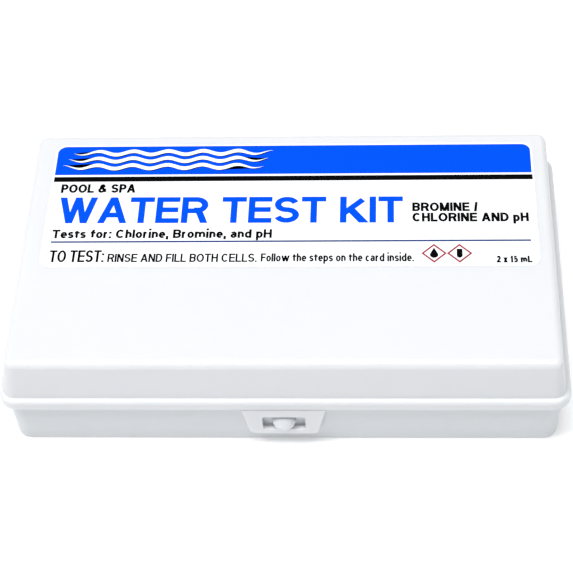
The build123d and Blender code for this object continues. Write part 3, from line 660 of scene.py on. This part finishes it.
def print_front_label():
    """The band, the bar and the rule run true to the sheet, and the type falls slightly to the right."""
    sheet = Sheet("front_label", "lid")
    lines = Sheet("front_label", "lid", right=(1, -LINE_FALL, 0), up=(LINE_FALL, 1, 0))
    edge, band_low, band_high, corner = 0.7, 40.3, 53.3, 2.9
    bar_low, bar_high, bar_overhang = 37.2, 39.4, 0.2
    wave_rise, wave_length, wave_thickness, shadow = 0.8, 11.6, 1.55, 0.35
    right = sheet.width - edge
    band = ([(edge, band_low), (right, band_low)] + arc((right - corner, band_high - corner), corner, 0, 90)
            + arc((edge + corner, band_high - corner), corner, 90, 180))
    ink("label_band", sheet, BLUE_INK, [band])
    ink("label_bar", sheet, BLACK_INK, [rectangle(edge, bar_low, right + bar_overhang, bar_high)])
    rows = [(3.0 + 1.5 * row, 69.5 + 1.5 * row, 43.9 + 3.2 * row) for row in range(3)]
    for name, mat, shift, lift in (("label_wave_shadow", BLACK_INK, shadow, 0.008),
                                   ("label_waves", WHITE_INK, 0, 0.016)):
        ribbons = [wave(*row, wave_rise, wave_length, wave_thickness, (shift, -shift)) for row in rows]
        ink(name, sheet, mat, ribbons, lift=lift)
    ink("label_rule", sheet, RULE_INK, [rectangle(2.75, 10.35, 155.4, 11.0)])
    ink("label_title", lines, BLUE_INK, words=[("WATER TEST KIT", 3.75, 18.8, 11.35, 111.4, 0.185)])
    ink("label_words", lines, BLACK_INK, words=[
        ("POOL & SPA", 3.45, 32.25, 3.85, 24.5, 0.215),
        ("BROMINE /", 118.15, 23.65, 3.8, 21.0, 0.22),
        ("CHLORINE AND pH", 118.15, 19.15, 3.8, 37.0, 0.22),
        ("Tests for: Chlorine, Bromine, and pH", 2.8, 12.3, 3.7, 70.6, 0.21),
    ])
    ink("label_steps", lines, BLACK_INK, words=[
        ("TO TEST:", 3.0, 2.15, 5.0, 17.5, 0.15),
        ("RINSE AND FILL BOTH CELLS.", 21.65, 2.15, 3.5, 47.4, 0.165),
        ("Follow the steps on the card inside.", 70.3, 2.3, 3.4, 48.2, 0.165),
    ])
    ink("label_contents", lines, BLACK_INK, words=[("2 x 15 mL", 144.25, 1.8, 2.75, 11.1, 0.22)])
    marks = [(124.8, 5.65), (132.8, 5.65)]
    ink("label_mark_frames", lines, RED_INK,
        rings=[(diamond(mark, 4.0, 3.95), diamond(mark, 3.2, 3.15)) for mark in marks])
    (drop_u, drop_v), vial_at = marks
    ink("label_mark_glyphs", lines, BLACK_INK, [drop((drop_u, drop_v - 0.6), 1.3), vial(vial_at, 1.8, 3.7)])


def print_underside_label():
    """Small print under the case: a band, two columns of greeked text and a wave."""
    sheet = Sheet("underside_label", "base", right=(-1, 0, 0))
    w, h = sheet.width, sheet.height
    margin = 5.0
    ink("underside_band", sheet, BLUE_INK, [rectangle(margin, h - 11.0, w - margin, h - 5.5)])
    lines = []
    for column in range(2):
        u0 = margin + column * (w - margin) / 2
        for row in range(13):
            v = h - 18.5 - row * 3.4
            end = u0 + (w - 3 * margin) / 2 - (18.0 if row % 5 == 4 else 0.0)
            lines += greeked(u0, end, v, 1.5, seed=100 * column + row)
    ink("underside_text", sheet, GREY_INK, lines)
    ink("underside_waves", sheet, BLUE_INK, [wave(margin, w - margin, 4.6, 0.8, 9.0, 1.1)])


def print_instruction_card():
    """Four numbered steps, each with a little picture of the cells, read with the lid open."""
    sheet = Sheet("instruction_card", "lid", up=(0, -1, 0))
    w, h = sheet.width, sheet.height
    margin = 4.0
    ink("card_heading", sheet, BLUE_INK, [rectangle(margin, h - 6.2, w - margin, h - 5.4)],
        words=[("HOW TO TEST", margin, h - 4.8, 3.2, 30.0, 0.18)])
    column = (w - 2 * margin) / 4
    steps, numbers, text, tubes, fills = [], [], [], [], []
    for i in range(4):
        u0 = margin + i * column
        centre = (u0 + 4.0, h - 13.5)
        steps.append(arc(centre, 3.4, 0, 345, 23))
        numbers.append((str(i + 1), centre[0] - 1.1, centre[1] - 1.7, 3.4, 2.2, 0.19))
        for k in range(2):
            tube = (u0 + 13.5 + 9.0 * k, h - 26.0)
            tubes.append((vial(tube, 6.4, 22.0), vial(tube, 5.4, 21.0)))
            if i:
                fills.append((i, k, vial((tube[0], tube[1] - 2.0), 4.6, 16.0)))
        for row in range(8):
            text += greeked(u0, u0 + column - 4.0, 31.5 - row * 3.5, 1.4, seed=10 * i + row)
    ink("card_step_dots", sheet, BLUE_INK, steps)
    ink("card_step_numbers", sheet, WHITE_INK, words=numbers, lift=0.012)
    ink("card_tubes", sheet, GREY_INK, rings=tubes)
    ink("card_text", sheet, GREY_INK, text)
    for k, (name, mat) in enumerate(SPOT_INKS.items()):
        ink(f"card_{name}_fill", sheet, mat, [shape for i, side, shape in fills if side == k])


def print_color_card():
    """Numbers beside the colour standards: chlorine and bromine on the left, pH on the right."""
    sheet = Sheet("color_card", "comparator")
    low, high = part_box("chlorine_color_chips")
    pitch = ((high.y - low.y) / MM - CHIP_LENGTH) / 4
    first = (low.y - sheet.corner.y) / MM + CHIP_LENGTH / 2
    scales = {
        1.0: ("0.5", "1.0", "1.5", "3.0", "5.0"),
        sheet.width / 2 - 4.0: ("1", "2", "3", "6", "10"),
        sheet.width - 5.6: ("6.8", "7.2", "7.5", "7.8", "8.2"),
    }
    words = []
    for left, values in scales.items():
        for i, value in enumerate(values):
            words.append((value, left, first + i * pitch - 1.1, 2.2, 1.45 * len(value), 0.16))
    heading_v = first + 4 * pitch + 6.4
    headings = (("Cl", 1.6, 2.8), ("Br", sheet.width / 2 - 4.4, 3.6), ("pH", sheet.width - 5.6, 4.2))
    for heading, left, width in headings:
        words.append((heading, left, heading_v, 2.6, width, 0.17))
    ink("scale_numbers", sheet, BLACK_INK, words=words)
    ink("scale_rules", sheet, RULE_INK, [
        rectangle(sheet.width / 2 + 0.6, 2.0, sheet.width / 2 + 0.9, sheet.height - 2.0),
        rectangle(1.5, heading_v - 1.5, sheet.width - 1.5, heading_v - 1.2),
    ])


def print_bottle_label(name, number):
    """A colour band, a big number that the card refers to, and greeked small print round the back."""
    sheet = Wrap(f"{name}_bottle_label", f"{name}_bottle")
    w, h = sheet.width, sheet.height
    margin, clear_of_number = 3.0, 13.0
    ink(f"{name}_wrap_bands", sheet, SPOT_INKS[name], [
        rectangle(0.4, h - 6.5, w - 0.4, h - 1.2),
        rectangle(0.4, 1.2, w - 0.4, 3.0),
    ])
    ink(f"{name}_wrap_number", sheet, BLACK_INK, words=[(str(number), w / 2 - 2.8, 8.4, 9.5, 5.6, 0.18)])
    ink(f"{name}_wrap_volume", sheet, BLACK_INK, words=[("15 mL", w / 2 - 4.0, 4.6, 2.0, 8.0, 0.16)])
    text = []
    for u0, u1 in ((margin, w / 2 - clear_of_number), (w / 2 + clear_of_number, w - margin)):
        for row in range(7):
            text += greeked(u0, u1, 5.5 + row * 2.4, 1.1, seed=int(u0) + row)
    ink(f"{name}_wrap_text", sheet, GREY_INK, text)


print_front_label()
print_underside_label()
print_instruction_card()
print_color_card()
for number, name in enumerate(REAGENTS, start=1):
    print_bottle_label(name, number)

# ---------------------------------------------------------------- camera, floor and light

# The camera was fitted to the edges of the case in the photograph. SENSOR and LENS are in millimetres.
CAMERA_PLACE = Vector((30.6, -388.31, 471.45)) * MM
CAMERA_YAW = math.radians(4.611)
CAMERA_PITCH = math.radians(49.499)
CAMERA_ROLL = math.radians(3.672)
SENSOR = 36.0
LENS = 115.569
FLOOR_RADIUS = 5.0


def make_camera():
    data = bpy.data.cameras.new("camera")
    data.sensor_width = SENSOR
    data.lens = LENS
    data.clip_end = 20.0
    camera = bpy.data.objects.new("camera", data)
    bpy.context.scene.collection.objects.link(camera)
    turn = (Matrix.Rotation(CAMERA_YAW, 4, "Z") @ Matrix.Rotation(math.pi / 2 - CAMERA_PITCH, 4, "X")
            @ Matrix.Rotation(-CAMERA_ROLL, 4, "Z"))
    camera.matrix_world = Matrix.Translation(CAMERA_PLACE) @ turn
    bpy.context.scene.camera = camera


def make_floor():
    bpy.ops.mesh.primitive_circle_add(vertices=64, radius=FLOOR_RADIUS, fill_type="NGON", location=(0, 0, 0))
    floor = bpy.context.object
    floor.name = "floor"
    mat, shader, add, link = new_material("floor_white")
    set_shader(shader, Base_Color=rgba((0.69, 0.695, 0.70)), Roughness=0.9, Specular_IOR_Level=0.1,
               Emission_Color=rgba((1.0, 1.0, 1.0)), Emission_Strength=0.34)
    floor.data.materials.append(mat)


def make_light(name, place, target, size, power):
    """A soft white panel of this size in metres and power in watts, at place and facing target."""
    data = bpy.data.lights.new(name, "AREA")
    data.shape = "RECTANGLE"
    data.size, data.size_y = size
    data.energy = power
    light = bpy.data.objects.new(name, data)
    bpy.context.scene.collection.objects.link(light)
    light.location = place
    light.rotation_euler = (Vector(target) - Vector(place)).to_track_quat("-Z", "Y").to_euler()


def light_scene():
    scene = bpy.context.scene
    scene.view_settings.view_transform = "Standard"
    world = bpy.data.worlds.new("studio")
    world.use_nodes = True
    background = world.node_tree.nodes["Background"]
    background.inputs["Color"].default_value = rgba((0.92, 0.975, 1.0))
    background.inputs["Strength"].default_value = 0.19
    scene.world = world
    make_light("key", (-1.05, -0.45, 1.9), (0, 0, 0), (0.45, 0.45), 17.0)
    make_light("overhead", (0.0, -0.2, 2.2), (0, 0, 0), (1.3, 1.3), 47.5)
    make_light("left_fill", (-0.55, -0.95, 0.35), (-0.05, 0, 0.02), (0.4, 0.4), 0.7)
    make_light("right_fill", (1.7, 0.1, 0.7), (0, 0, 0.02), (0.9, 0.9), 1.5)


make_camera()
make_floor()
light_scene()
